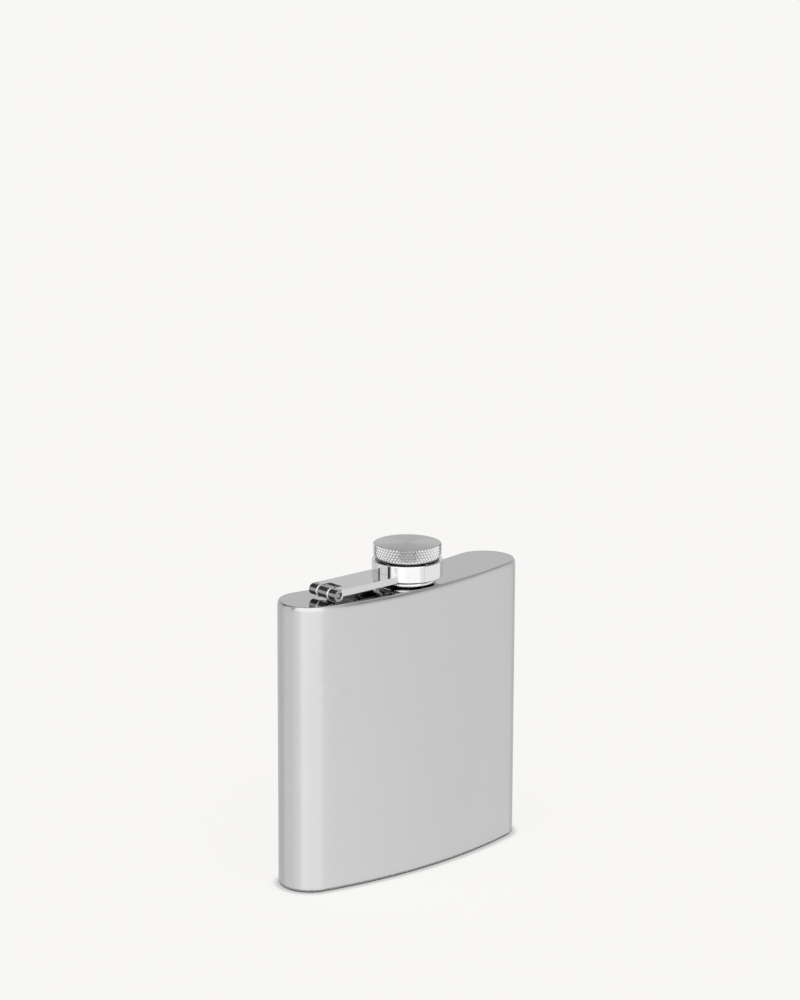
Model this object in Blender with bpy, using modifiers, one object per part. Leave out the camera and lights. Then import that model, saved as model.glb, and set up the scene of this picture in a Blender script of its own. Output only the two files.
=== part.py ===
"""Hip flask with a captive screw cap: a kidney-shaped steel bottle, its hinged arm and its knurled cap.

Metres, +Z up. X runs along the width, the convex front faces -Y, and the origin is in the
middle of the base. The hinge's axis is parallel to Y and the cap's axis is parallel to Z.
"""

import math

import bmesh
import bpy
from mathutils import Matrix, Vector

MM = 0.001
GAP = 0.3 * MM  # between pieces that touch on the real flask
RUNNING_GAP = 0.1 * MM  # between pieces that slide or turn on each other

# The bottle's plan: two long arcs that bend the same way, joined by a small arc at each end.
BODY_WIDTH = 93.0 * MM
BODY_THICKNESS = 20.9 * MM  # at the middle of the width
FRONT_RADIUS = 161.0 * MM
BACK_RADIUS = 194.0 * MM
BODY_HEIGHT = 91.7 * MM
WALL = 1.0 * MM
EDGE_RADIUS = 0.8 * MM
PANEL_THICKNESS = 1.0 * MM

# The neck, which the cap closes.
NECK_BORE_RADIUS = 4.1 * MM
NECK_RADIUS = 4.6 * MM
NECK_THREAD_RADIUS = 5.0 * MM
NECK_FLANGE_RADIUS = 8.0 * MM
NECK_FLANGE_THICKNESS = 0.8 * MM
NECK_HEIGHT = 5.5 * MM  # above the top panel
THREAD_PITCH = 1.5 * MM
THREAD_TURNS = 1.4

# The hinge at the left end of the top.
HINGE_X = -33.3 * MM
HINGE_HEIGHT = 2.5 * MM  # of its axis above the top panel
KNUCKLE_RADIUS = 1.75 * MM
PIN_RADIUS = 0.75 * MM
PIN_BORE_RADIUS = 0.86 * MM
BARREL_HALF_LENGTH = 6.0 * MM
MIDDLE_KNUCKLE_HALF_LENGTH = 2.1 * MM
WASHER_THICKNESS = 0.6 * MM
WASHER_RADIUS = 1.95 * MM
BRACKET_SHEET = 0.6 * MM
BRACKET_FOOT_LENGTH = 7.5 * MM
BRACKET_TONGUE = 2.7 * MM  # from the hinge's axis to the back of the upright

# The arm, a channel open downwards, and the collar on its end.
ARM_HALF_WIDTH = 6.0 * MM
ARM_SHEET = 0.7 * MM
ARM_FLANGE_HEIGHT = 2.1 * MM
ARM_NOTCH_LENGTH = 4.1 * MM  # from the hinge's axis to the end of the notch
COLLAR_RADIUS = 11.05 * MM
COLLAR_INNER_RADIUS = 9.85 * MM
COLLAR_BASE = 2.2 * MM  # above the top panel
COLLAR_HEIGHT = 5.15 * MM
COLLAR_FLOOR_BASE = 4.3 * MM  # above the top panel
COLLAR_FLOOR_THICKNESS = 0.7 * MM
COLLAR_HOLE_RADIUS = 6.3 * MM

# The cap, from the sleeve over the neck to the knurled head.
SLEEVE_BASE = 0.35 * MM  # above the top panel
SLEEVE_RADIUS = 5.9 * MM
SLEEVE_BORE_RADIUS = 5.5 * MM
SLEEVE_THREAD_RADIUS = 5.25 * MM
PLUG_RADIUS = 6.6 * MM
PLUG_HEIGHT = 2.4 * MM
RETAINER_RADIUS = 9.4 * MM
RETAINER_THICKNESS = 1.2 * MM
SLIP_WASHER_RADIUS = 9.0 * MM
SLIP_WASHER_THICKNESS = 0.3 * MM
GASKET_RADIUS = 5.1 * MM
GASKET_THICKNESS = 1.2 * MM
CAP_RADIUS = 10.65 * MM
CAP_BASE = 7.3 * MM  # above the top panel
CAP_HEIGHT = 5.0 * MM
CAP_FOOT_RADIUS = 8.7 * MM
CAP_FOOT_HEIGHT = 2.2 * MM  # of the rounding between the foot and the knurled rim
CAP_TOP_BEVEL = 0.25 * MM

ROUND_STEPS = 64
SMALL_ROUND_STEPS = 32
TOP = BODY_HEIGHT


def end_arc():
    """The centre (x, y) and radius of the arc that touches both long arcs and the body's end.

    The end circle's centre is at distance FRONT_RADIUS - r from the front arc's centre and at
    BACK_RADIUS + r from the back arc's centre, and x + r is half of the width. Both long arcs
    have their centres on the Y axis, so each distance gives one circle through the centre.
    """
    half = BODY_WIDTH / 2
    front_y = FRONT_RADIUS - BODY_THICKNESS / 2
    back_y = BACK_RADIUS + BODY_THICKNESS / 2
    low = BODY_THICKNESS / 4
    high = BODY_THICKNESS
    for _ in range(60):
        radius = (low + high) / 2
        x = half - radius
        on_front = front_y - math.sqrt((FRONT_RADIUS - radius) ** 2 - x * x)
        on_back = back_y - math.sqrt((BACK_RADIUS + radius) ** 2 - x * x)
        if on_front > on_back:
            high = radius
        else:
            low = radius
    return x, on_front, radius


END_X, END_Y, END_RADIUS = end_arc()
# The collar stands out furthest at the front and the two ends at the back: the depth is centred on these.
PLAN_SHIFT = -(END_Y + END_RADIUS - COLLAR_RADIUS) / 2
CAP_AXIS = Vector((0, PLAN_SHIFT, 0))
HINGE_AXIS = Vector((HINGE_X, PLAN_SHIFT, TOP + HINGE_HEIGHT))


def arc_points(centre, radius, start, end, count):
    """Points on an arc from one angle to another, both ends included."""
    angles = [start + (end - start) * i / (count - 1) for i in range(count)]
    return [(centre[0] + radius * math.cos(a), centre[1] + radius * math.sin(a)) for a in angles]


def plan_outline(inset):
    """The bottle's plan, anticlockwise from above, moved in by inset."""
    front_centre = (0, PLAN_SHIFT + FRONT_RADIUS - BODY_THICKNESS / 2)
    back_centre = (0, PLAN_SHIFT + BACK_RADIUS + BODY_THICKNESS / 2)
    end_y = PLAN_SHIFT + END_Y
    down = -math.pi / 2
    front_half = math.atan2(END_X, front_centre[1] - end_y)
    back_half = math.atan2(END_X, back_centre[1] - end_y)
    front = arc_points(front_centre, FRONT_RADIUS - inset, down - front_half, down + front_half, 25)
    right = arc_points((END_X, end_y), END_RADIUS - inset, down + front_half, math.pi / 2 + back_half, 17)
    back = arc_points(back_centre, BACK_RADIUS + inset, down + back_half, down - back_half, 25)
    left = [(-x, y) for x, y in reversed(right)]
    return front + right[1:-1] + back + left[1:-1]


def clear_scene():
    for old in list(bpy.data.objects):
        bpy.data.objects.remove(old, do_unlink=True)


def new_collection(name):
    collection = bpy.data.collections.new(name)
    bpy.context.scene.collection.children.link(collection)
    return collection


def material(name, colour, roughness, metallic):
    made = bpy.data.materials.new(name)
    made.use_nodes = True
    shader = made.node_tree.nodes["Principled BSDF"]
    shader.inputs["Base Color"].default_value = (*colour, 1)
    shader.inputs["Roughness"].default_value = roughness
    shader.inputs["Metallic"].default_value = metallic
    return made


def add_object(name, mesh, collection, made_of=None, location=(0, 0, 0), parent=None):
    """A mesh object at a place in the world, kept there when it is parented."""
    obj = bpy.data.objects.new(name, mesh)
    collection.objects.link(obj)
    obj.location = location
    if made_of:
        mesh.materials.append(made_of)
    if parent:
        obj.parent = parent
        obj.matrix_parent_inverse = Matrix.Translation(-parent.location)
    return obj


def add_pivot(name, location, collection, parent=None):
    """An empty on a joint's axis."""
    pivot = bpy.data.objects.new(name, None)
    pivot.empty_display_size = 5 * MM
    collection.objects.link(pivot)
    pivot.location = location
    if parent:
        pivot.parent = parent
        pivot.matrix_parent_inverse = Matrix.Translation(-parent.location)
    return pivot


def smooth(mesh):
    mesh.shade_smooth()
    mesh.set_sharp_from_angle(angle=math.radians(35))


def prism_mesh(name, outline, base, height):
    """An outline of (x, y) points raised from base by height, as a closed mesh."""
    bm = bmesh.new()
    corners = [bm.verts.new((x, y, base)) for x, y in outline]
    face = bm.faces.new(corners)
    raised = bmesh.ops.extrude_face_region(bm, geom=[face])
    moved = [item for item in raised["geom"] if isinstance(item, bmesh.types.BMVert)]
    bmesh.ops.translate(bm, verts=moved, vec=(0, 0, height))
    bmesh.ops.recalc_face_normals(bm, faces=bm.faces)
    mesh = bpy.data.meshes.new(name)
    bm.to_mesh(mesh)
    bm.free()
    return mesh


def turned_object(name, profile, steps, collection, **placing):
    """A closed profile of (radius, height) points turned about Z with a Screw modifier.

    The profile runs down its outer side and back up its inner side, and a radius of 0 closes
    the piece on its axis.
    """
    mesh = bpy.data.meshes.new(name)
    ring = all(radius > 0 for radius, _ in profile)
    count = len(profile)
    edges = [(i, (i + 1) % count) for i in range(count if ring else count - 1)]
    mesh.from_pydata([(radius, 0, height) for radius, height in profile], edges, [])
    obj = add_object(name, mesh, collection, **placing)
    screw = obj.modifiers.new("Screw", "SCREW")
    screw.axis = "Z"
    screw.steps = steps
    screw.render_steps = steps
    screw.use_merge_vertices = True
    screw.merge_threshold = 0.00001
    screw.use_smooth_shade = True
    return obj


def cylinder_mesh(name, radius, height, steps):
    """A cylinder about Z with its base at zero."""
    bm = bmesh.new()
    bmesh.ops.create_cone(
        bm, cap_ends=True, segments=steps, radius1=radius, radius2=radius, depth=height
    )
    bmesh.ops.translate(bm, verts=bm.verts, vec=(0, 0, height / 2))
    mesh = bpy.data.meshes.new(name)
    bm.to_mesh(mesh)
    bm.free()
    return mesh


def box_mesh(name, low, high):
    """A box between two corners."""
    bm = bmesh.new()
    bmesh.ops.create_cube(bm, size=1)
    size = [high[i] - low[i] for i in range(3)]
    middle = [(high[i] + low[i]) / 2 for i in range(3)]
    bmesh.ops.scale(bm, verts=bm.verts, vec=size)
    bmesh.ops.translate(bm, verts=bm.verts, vec=middle)
    mesh = bpy.data.meshes.new(name)
    bm.to_mesh(mesh)
    bm.free()
    return mesh


def cutter(name, mesh, collection, location=(0, 0, 0)):
    obj = add_object(name, mesh, collection, location=location)
    obj.hide_render = True
    obj.display_type = "WIRE"
    return obj


def combine(obj, other, operation):
    """Adds a Boolean of another mesh to this object."""
    boolean = obj.modifiers.new(other.name, "BOOLEAN")
    boolean.operation = operation
    boolean.object = other
    boolean.solver = "EXACT"


def along_y(mesh):
    """Turns a mesh about X, so that what ran along +Z runs along -Y."""
    mesh.transform(Matrix.Rotation(math.pi / 2, 4, "X"))
    return mesh


def thread_mesh(name, radius, thickness, base):
    """A round ridge wound on a helix about Z, as a closed tube mesh."""
    turn_points = 28
    count = round(THREAD_TURNS * turn_points) + 1
    curve = bpy.data.curves.new(name, "CURVE")
    curve.dimensions = "3D"
    curve.bevel_depth = thickness
    curve.bevel_resolution = 1
    curve.use_fill_caps = True
    spline = curve.splines.new("POLY")
    spline.points.add(count - 1)
    for i, point in enumerate(spline.points):
        angle = math.tau * i / turn_points
        height = base + THREAD_PITCH * i / turn_points
        point.co = (radius * math.cos(angle), radius * math.sin(angle), height, 1)
    guide = bpy.data.objects.new(name, curve)
    bpy.context.scene.collection.objects.link(guide)
    bpy.context.view_layer.update()
    mesh = bpy.data.meshes.new_from_object(guide.evaluated_get(bpy.context.evaluated_depsgraph_get()))
    bpy.data.objects.remove(guide, do_unlink=True)
    bm = bmesh.new()
    bm.from_mesh(mesh)
    bmesh.ops.remove_doubles(bm, verts=bm.verts, dist=0.000001)
    bmesh.ops.recalc_face_normals(bm, faces=bm.faces)
    bm.to_mesh(mesh)
    bm.free()
    return mesh


def add_body_shell(parts, cutters, steel):
    """The bent wall: a rounded block of the plan, bored through along its height."""
    mesh = prism_mesh("body_shell", plan_outline(0), 0, BODY_HEIGHT)
    shell = add_object("body_shell", mesh, parts, made_of=steel)
    bevel = shell.modifiers.new("Bevel", "BEVEL")
    bevel.width = EDGE_RADIUS
    bevel.segments = 4
    bevel.limit_method = "ANGLE"
    bevel.angle_limit = math.radians(60)
    inside = prism_mesh("body_inside", plan_outline(WALL), -5 * MM, BODY_HEIGHT + 10 * MM)
    combine(shell, cutter("body_inside", inside, cutters), "DIFFERENCE")
    smooth(mesh)


def add_panels(parts, cutters, steel):
    """The flat plates that close the wall's top and bottom. The top one is bored for the neck."""
    outline = plan_outline(WALL + GAP)
    base = prism_mesh("base_panel", outline, 0, PANEL_THICKNESS)
    add_object("base_panel", base, parts, made_of=steel)
    top = prism_mesh("top_panel", outline, TOP - PANEL_THICKNESS, PANEL_THICKNESS)
    panel = add_object("top_panel", top, parts, made_of=steel)
    hole = cylinder_mesh("neck_hole", NECK_RADIUS + GAP, 6 * MM, SMALL_ROUND_STEPS)
    place = CAP_AXIS + Vector((0, 0, TOP - 3 * MM))
    combine(panel, cutter("neck_hole", hole, cutters, place), "DIFFERENCE")


def add_neck(parts, cutters, steel):
    """The spout: a tube with a flange under the top panel and a thread round its top."""
    flange_top = TOP - PANEL_THICKNESS - GAP
    flange_base = flange_top - NECK_FLANGE_THICKNESS
    rim = TOP + NECK_HEIGHT
    chamfer = 0.15 * MM
    profile = [
        (NECK_BORE_RADIUS + chamfer, rim),
        (NECK_RADIUS - chamfer, rim),
        (NECK_RADIUS, rim - chamfer),
        (NECK_RADIUS, flange_top),
        (NECK_FLANGE_RADIUS, flange_top),
        (NECK_FLANGE_RADIUS, flange_base),
        (NECK_BORE_RADIUS, flange_base),
        (NECK_BORE_RADIUS, rim - chamfer),
    ]
    neck = turned_object("neck", profile, ROUND_STEPS, parts, made_of=steel, location=CAP_AXIS)
    thickness = NECK_THREAD_RADIUS - NECK_RADIUS
    thread_base = rim - 0.6 * MM - THREAD_TURNS * THREAD_PITCH
    ridge = thread_mesh("neck_thread", NECK_RADIUS, thickness, thread_base)
    combine(neck, cutter("neck_thread", ridge, cutters, CAP_AXIS), "UNION")


def add_hinge_bracket(parts, cutters, steel):
    """One bent strip: a foot on the top panel, an upright, and a tongue that curls round the pin."""
    foot_base = GAP - HINGE_HEIGHT
    foot_top = foot_base + BRACKET_SHEET
    upright_inner = BRACKET_TONGUE - BRACKET_SHEET
    curl = arc_points((0, 0), KNUCKLE_RADIUS, math.pi / 2, math.tau * 0.98, 25)
    outline = curl + [
        (upright_inner, -0.1 * MM),
        (upright_inner, foot_base),
        (BRACKET_FOOT_LENGTH, foot_base),
        (BRACKET_FOOT_LENGTH, foot_top),
        (BRACKET_TONGUE, foot_top),
        (BRACKET_TONGUE, KNUCKLE_RADIUS - 0.3 * MM),
        (BRACKET_TONGUE - 0.3 * MM, KNUCKLE_RADIUS),
    ]
    width = 2 * MIDDLE_KNUCKLE_HALF_LENGTH
    mesh = along_y(prism_mesh("hinge_bracket", outline, -width / 2, width))
    bracket = add_object("hinge_bracket", mesh, parts, made_of=steel, location=HINGE_AXIS)
    combine(bracket, pin_bore("bracket_pin_bore", cutters), "DIFFERENCE")


def pin_bore(name, cutters):
    """A cutter for the pin's hole, longer than the barrel."""
    length = 4 * BARREL_HALF_LENGTH
    mesh = along_y(cylinder_mesh(name, PIN_BORE_RADIUS, length, SMALL_ROUND_STEPS))
    return cutter(name, mesh, cutters, HINGE_AXIS + Vector((0, length / 2, 0)))


def add_hinge_pin(parts, steel):
    """The pin, domed a little at both ends, with its ends level with the barrel's."""
    half = BARREL_HALF_LENGTH
    dome = 0.2 * MM
    profile = [
        (0, half),
        (PIN_RADIUS - dome, half - dome / 3),
        (PIN_RADIUS, half - dome),
        (PIN_RADIUS, dome - half),
        (PIN_RADIUS - dome, dome / 3 - half),
        (0, -half),
    ]
    pin = turned_object(
        "hinge_pin", profile, SMALL_ROUND_STEPS, parts, made_of=steel, location=HINGE_AXIS
    )
    pin.rotation_euler = (math.pi / 2, 0, 0)


def add_hinge_washers(parts, steel):
    """The thin washers between the middle knuckle and the outer ones."""
    half = WASHER_THICKNESS / 2
    chamfer = 0.12 * MM
    profile = [
        (WASHER_RADIUS - chamfer, half),
        (WASHER_RADIUS, half - chamfer),
        (WASHER_RADIUS, chamfer - half),
        (WASHER_RADIUS - chamfer, -half),
        (PIN_BORE_RADIUS, -half),
        (PIN_BORE_RADIUS, half),
    ]
    offset = MIDDLE_KNUCKLE_HALF_LENGTH + RUNNING_GAP + half
    for name, side in (("hinge_washer_front", -1), ("hinge_washer_back", 1)):
        place = HINGE_AXIS + Vector((0, side * offset, 0))
        washer = turned_object(name, profile, SMALL_ROUND_STEPS, parts, made_of=steel, location=place)
        washer.rotation_euler = (math.pi / 2, 0, 0)


def add_arm(parts, cutters, steel, pivot):
    """The channel: a web with two down-turned flanges, whose hinge end curls round the pin."""
    top = KNUCKLE_RADIUS
    reach = -HINGE_X
    inner = ARM_HALF_WIDTH - ARM_SHEET
    bottom = top - ARM_FLANGE_HEIGHT
    below = top - ARM_SHEET
    solid = box_mesh("arm", (0, -ARM_HALF_WIDTH, bottom), (reach, ARM_HALF_WIDTH, top))
    arm = add_object("arm", solid, parts, made_of=steel, location=HINGE_AXIS, parent=pivot)
    hollow = box_mesh("arm_hollow", (-3 * MM, -inner, bottom - MM), (reach + MM, inner, below))
    combine(arm, cutter("arm_hollow", hollow, cutters, HINGE_AXIS), "DIFFERENCE")
    barrel = cylinder_mesh("arm_knuckles", KNUCKLE_RADIUS, 2 * ARM_HALF_WIDTH, SMALL_ROUND_STEPS)
    place = HINGE_AXIS + Vector((0, ARM_HALF_WIDTH, 0))
    combine(arm, cutter("arm_knuckles", along_y(barrel), cutters, place), "UNION")
    notch_half = MIDDLE_KNUCKLE_HALF_LENGTH + WASHER_THICKNESS + 2 * RUNNING_GAP
    low = (-3 * MM, -notch_half, -3 * MM)
    high = (ARM_NOTCH_LENGTH, notch_half, 3 * MM)
    combine(arm, cutter("arm_notch", box_mesh("arm_notch", low, high), cutters, HINGE_AXIS), "DIFFERENCE")
    combine(arm, pin_bore("arm_pin_bore", cutters), "DIFFERENCE")
    round_end = cylinder_mesh("arm_end", COLLAR_RADIUS + GAP, 12 * MM, ROUND_STEPS)
    end_place = CAP_AXIS + Vector((0, 0, TOP))
    combine(arm, cutter("arm_end", round_end, cutters, end_place), "DIFFERENCE")


def add_collar(parts, steel, pivot):
    """The tall ring on the arm's end, with a floor that keeps the cap in it."""
    base = TOP + COLLAR_BASE
    rim = base + COLLAR_HEIGHT
    floor = TOP + COLLAR_FLOOR_BASE
    floor_top = floor + COLLAR_FLOOR_THICKNESS
    chamfer = 0.25 * MM
    profile = [
        (COLLAR_INNER_RADIUS + chamfer, rim),
        (COLLAR_RADIUS - chamfer, rim),
        (COLLAR_RADIUS, rim - chamfer),
        (COLLAR_RADIUS, base + chamfer),
        (COLLAR_RADIUS - chamfer, base),
        (COLLAR_INNER_RADIUS, base),
        (COLLAR_INNER_RADIUS, floor),
        (COLLAR_HOLE_RADIUS, floor),
        (COLLAR_HOLE_RADIUS, floor_top),
        (COLLAR_INNER_RADIUS, floor_top),
        (COLLAR_INNER_RADIUS, rim - chamfer),
    ]
    turned_object(
        "collar", profile, ROUND_STEPS, parts, made_of=steel, location=CAP_AXIS, parent=pivot
    )


def add_cap_head(parts, steel, pivot):
    """The knurled head, rounded in to its foot and recessed below for the sleeve's plug."""
    base = TOP + CAP_BASE
    top = base + CAP_HEIGHT
    recess = PLUG_RADIUS + GAP
    recess_top = base + PLUG_HEIGHT + 2 * GAP
    rounding = [
        (
            CAP_FOOT_RADIUS + (CAP_RADIUS - CAP_FOOT_RADIUS) * math.cos(math.radians(angle)),
            base + CAP_FOOT_HEIGHT * (1 - math.sin(math.radians(angle))),
        )
        for angle in range(0, 91, 15)
    ]
    profile = [
        (0, top),
        (CAP_RADIUS - CAP_TOP_BEVEL, top),
        (CAP_RADIUS, top - CAP_TOP_BEVEL),
        *rounding,
        (recess, base),
        (recess, recess_top),
        (0, recess_top),
    ]
    turned_object(
        "cap_head", profile, ROUND_STEPS, parts, made_of=steel, location=CAP_AXIS, parent=pivot
    )


def add_cap_sleeve(parts, cutters, steel, pivot):
    """The threaded sleeve: a plug in the head and a thin tube down over the neck."""
    base = TOP + SLEEVE_BASE
    plug_base = TOP + CAP_BASE + GAP
    bore_top = TOP + NECK_HEIGHT + GAP + GASKET_THICKNESS + GAP
    profile = [
        (0, plug_base + PLUG_HEIGHT),
        (PLUG_RADIUS, plug_base + PLUG_HEIGHT),
        (PLUG_RADIUS, plug_base),
        (SLEEVE_RADIUS, plug_base),
        (SLEEVE_RADIUS, base),
        (SLEEVE_BORE_RADIUS, base),
        (SLEEVE_BORE_RADIUS, bore_top),
        (0, bore_top),
    ]
    sleeve = turned_object(
        "cap_sleeve", profile, ROUND_STEPS, parts, made_of=steel, location=CAP_AXIS, parent=pivot
    )
    thickness = SLEEVE_BORE_RADIUS - SLEEVE_THREAD_RADIUS
    thread_base = TOP + NECK_HEIGHT - 0.4 * MM - THREAD_TURNS * THREAD_PITCH
    ridge = thread_mesh("sleeve_thread", SLEEVE_BORE_RADIUS, thickness, thread_base)
    combine(sleeve, cutter("sleeve_thread", ridge, cutters, CAP_AXIS), "UNION")


def add_cap_gasket(parts, rubber, pivot):
    """The soft disc that closes the neck's rim."""
    mesh = cylinder_mesh("cap_gasket", GASKET_RADIUS, GASKET_THICKNESS, ROUND_STEPS)
    place = CAP_AXIS + Vector((0, 0, TOP + NECK_HEIGHT + GAP))
    add_object("cap_gasket", mesh, parts, made_of=rubber, location=place, parent=pivot)
    smooth(mesh)


def add_flat_ring(name, inner, outer, base, thickness, parts, made_of, pivot):
    """A plain washer about the cap's axis."""
    profile = [(outer, base + thickness), (outer, base), (inner, base), (inner, base + thickness)]
    return turned_object(
        name, profile, ROUND_STEPS, parts, made_of=made_of, location=CAP_AXIS, parent=pivot
    )


def add_retainer_and_washer(parts, steel, plastic, cap_pivot, carrier_pivot):
    """The ring on the sleeve's foot that keeps the cap in the collar, and the slip washer on top of it."""
    inner = SLEEVE_RADIUS + RUNNING_GAP
    base = TOP + SLEEVE_BASE
    add_flat_ring(
        "retaining_ring", inner, RETAINER_RADIUS, base, RETAINER_THICKNESS, parts, steel, cap_pivot
    )
    washer_base = base + RETAINER_THICKNESS + RUNNING_GAP
    add_flat_ring(
        "slip_washer", inner, SLIP_WASHER_RADIUS, washer_base,
        SLIP_WASHER_THICKNESS, parts, plastic, carrier_pivot,
    )


def build():
    clear_scene()
    parts = new_collection("hip_flask")
    cutters = new_collection("cutters")
    brushed = material("brushed_steel", (0.62, 0.61, 0.60), 0.34, 1)
    satin = material("satin_steel", (0.58, 0.58, 0.58), 0.28, 1)
    polished = material("polished_steel", (0.72, 0.72, 0.72), 0.08, 1)
    dark = material("dark_polished_steel", (0.35, 0.35, 0.35), 0.15, 1)
    rubber = material("silicone", (0.80, 0.80, 0.78), 0.55, 0)
    plastic = material("white_plastic", (0.75, 0.75, 0.74), 0.40, 0)

    arm_pivot = add_pivot("arm_pivot", HINGE_AXIS, parts)
    carrier_pivot = add_pivot("carrier_pivot", CAP_AXIS, parts, arm_pivot)
    cap_pivot = add_pivot("cap_pivot", CAP_AXIS, parts, arm_pivot)

    add_body_shell(parts, cutters, brushed)
    add_panels(parts, cutters, satin)
    add_neck(parts, cutters, polished)
    add_hinge_bracket(parts, cutters, dark)
    add_hinge_pin(parts, polished)
    add_hinge_washers(parts, polished)
    add_arm(parts, cutters, polished, arm_pivot)
    add_collar(parts, polished, arm_pivot)
    add_cap_head(parts, satin, cap_pivot)
    add_cap_sleeve(parts, cutters, polished, cap_pivot)
    add_cap_gasket(parts, rubber, cap_pivot)
    add_retainer_and_washer(parts, polished, plastic, cap_pivot, carrier_pivot)


build()
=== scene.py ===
"""The finished look of the hip flask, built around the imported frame.

Shapes are worked out in millimetres and turned into metres as each mesh is made. X runs along
the flask's width, the convex front faces -Y, and Z points up from the base.
"""

import math

import bpy
import numpy as np
from mathutils import Matrix, Vector


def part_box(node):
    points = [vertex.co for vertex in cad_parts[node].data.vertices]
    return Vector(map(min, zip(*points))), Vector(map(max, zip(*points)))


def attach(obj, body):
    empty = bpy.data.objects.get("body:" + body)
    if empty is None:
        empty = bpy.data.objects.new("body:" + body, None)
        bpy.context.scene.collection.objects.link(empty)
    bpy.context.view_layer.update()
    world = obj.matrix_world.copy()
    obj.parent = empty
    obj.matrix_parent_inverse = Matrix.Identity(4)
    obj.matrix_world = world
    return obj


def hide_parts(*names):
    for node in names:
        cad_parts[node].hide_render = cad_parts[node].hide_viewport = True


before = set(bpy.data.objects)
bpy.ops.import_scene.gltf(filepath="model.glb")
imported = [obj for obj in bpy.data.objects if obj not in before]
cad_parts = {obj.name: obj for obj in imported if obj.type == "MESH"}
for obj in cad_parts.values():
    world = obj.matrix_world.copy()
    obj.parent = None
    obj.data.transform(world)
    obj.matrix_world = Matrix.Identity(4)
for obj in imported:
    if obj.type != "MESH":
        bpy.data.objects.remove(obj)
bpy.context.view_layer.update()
MM = 0.001


def box_mm(node):
    """A frame node's lowest and highest corners, in millimetres."""
    low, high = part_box(node)
    return np.array(low) / MM, np.array(high) / MM


def middle(node):
    """The middle of a frame node's box, in millimetres."""
    low, high = box_mm(node)
    return (low + high) / 2


TOP = box_mm("body_shell")[1][2]
CAP_AXIS = middle("collar")[:2]
HINGE = middle("hinge_pin")
DEPTH_SHIFT = CAP_AXIS[1]

# The bottle: two long arcs that bend the same way, joined by a small arc at each end.
WIDTH = 93.0
THICKNESS = 20.9
FRONT_RADIUS = 161.0
BACK_RADIUS = 194.0
WALL = 1.0
RIM_DEPTH = 0.6
RIM_HEIGHT = 1.75
BASE_EDGE_RADIUS = 1.15
PANEL = 1.0
DISH_DEPTH = 0.35

# The hinge and the arm. Lengths along X and heights are counted from the hinge's axis.
SHEET = 0.85
KNUCKLE_RADIUS = 1.75
CURL_END = math.radians(345)
BRACKET_HALF_WIDTH = 2.1
BRACKET_DROP = 2.35
BRACKET_FOOT_END = 7.5
BRACKET_BEND = 0.45
PIN_RADIUS = 0.66
PIN_INSET = 0.3
PIN_SHIFT = np.array([0.16, 0, -0.03])
WASHER_RADIUS = 1.95
WASHER_BORE = 0.86
WASHER_HALF_THICKNESS = 0.3
WASHER_PLACE = 2.5
ARM_HALF_WIDTH = 6.0
ARM_FLANGE = 2.1
ARM_END_RADIUS = 11.12  # about the cap's axis
KNUCKLE_END = 1.2
NOTCH_HALF_WIDTH = 2.9
NOTCH_END = 4.1
# Lines of points between the notch and the flange, shared by the channel and the knuckles.
ARM_LINES = (4.0, 5.1)

# The neck and its thread. Heights here and below are above the top.
NECK_BORE = 4.1
NECK_RADIUS = 4.6
NECK_HEIGHT = 5.5
FLANGE_RADIUS = 8.0
FLANGE_THICKNESS = 0.8
THREAD_PITCH = 1.5
THREAD_TURNS = 1.4

# The ring on the arm's end.
RING_RADIUS = 11.05
RING_INNER = 9.85
RING_BASE = 2.2
RING_RIM = 7.35
RING_FLOOR_BASE = 4.3
RING_FLOOR_TOP = 5.0
RING_HOLE = 6.3

# The cap.
KNOB_RADIUS = 10.65
KNOB_FOOT_RADIUS = 8.1
KNOB_BASE = 6.95
KNOB_TOP = 12.3
KNOB_CROWN = 0.3
RECESS_RADIUS = 6.9
RECESS_DEPTH = 3.35
KNURL_COUNT = 62
KNURL_SLANT = math.radians(32)
KNURL_DEPTH = 0.42
SLEEVE_BORE = 5.5
SLEEVE_RADIUS = 5.9
SLEEVE_BASE = 0.35
SLEEVE_CEILING = 7.3
PLUG_RADIUS = 6.6
PLUG_BASE = 7.6
PLUG_HEIGHT = 2.4
GASKET_RADIUS = 5.1
GASKET_BASE = 5.8
GASKET_THICKNESS = 1.2


# ---------------------------------------------------------------- shapes


def fillet(corners, closed=True, steps=7):
    """Rounds the corners (a, b, radius) of a line: at each one, an arc that touches both sides.

    The arc's centre is on the corner's bisector at radius / sin(half the angle). One more point
    is set on each side just beyond the arc, so that the flat part keeps its own direction in
    shading. A radius of 0 leaves a sharp corner.
    """
    corners = np.asarray(corners, float)
    count = len(corners)
    points = []
    for i, (a, b, radius) in enumerate(corners):
        here = np.array([a, b])
        at_end = not closed and i in (0, count - 1)
        if radius == 0 or at_end:
            points.append(here[None, :])
            continue
        before = corners[i - 1, :2] - here
        after = corners[(i + 1) % count, :2] - here
        room = min(np.linalg.norm(before), np.linalg.norm(after))
        before = before / np.linalg.norm(before)
        after = after / np.linalg.norm(after)
        half = math.acos(np.clip(before @ after, -1, 1)) / 2
        reach = radius / math.tan(half)
        bisector = (before + after) / np.linalg.norm(before + after)
        centre = here + bisector * radius / math.sin(half)
        first = here + before * reach - centre
        last = here + after * reach - centre
        sweep = math.atan2(first[0] * last[1] - first[1] * last[0], first @ last)
        start = math.atan2(first[1], first[0])
        angles = start + sweep * np.linspace(0, 1, steps)
        arc = centre + radius * np.stack([np.cos(angles), np.sin(angles)], 1)
        guard = min(reach + 0.15 * radius, (reach + room / 2) / 2)
        points.append(np.vstack([here + before * guard, arc, here + after * guard]))
    return np.vstack(points)


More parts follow.
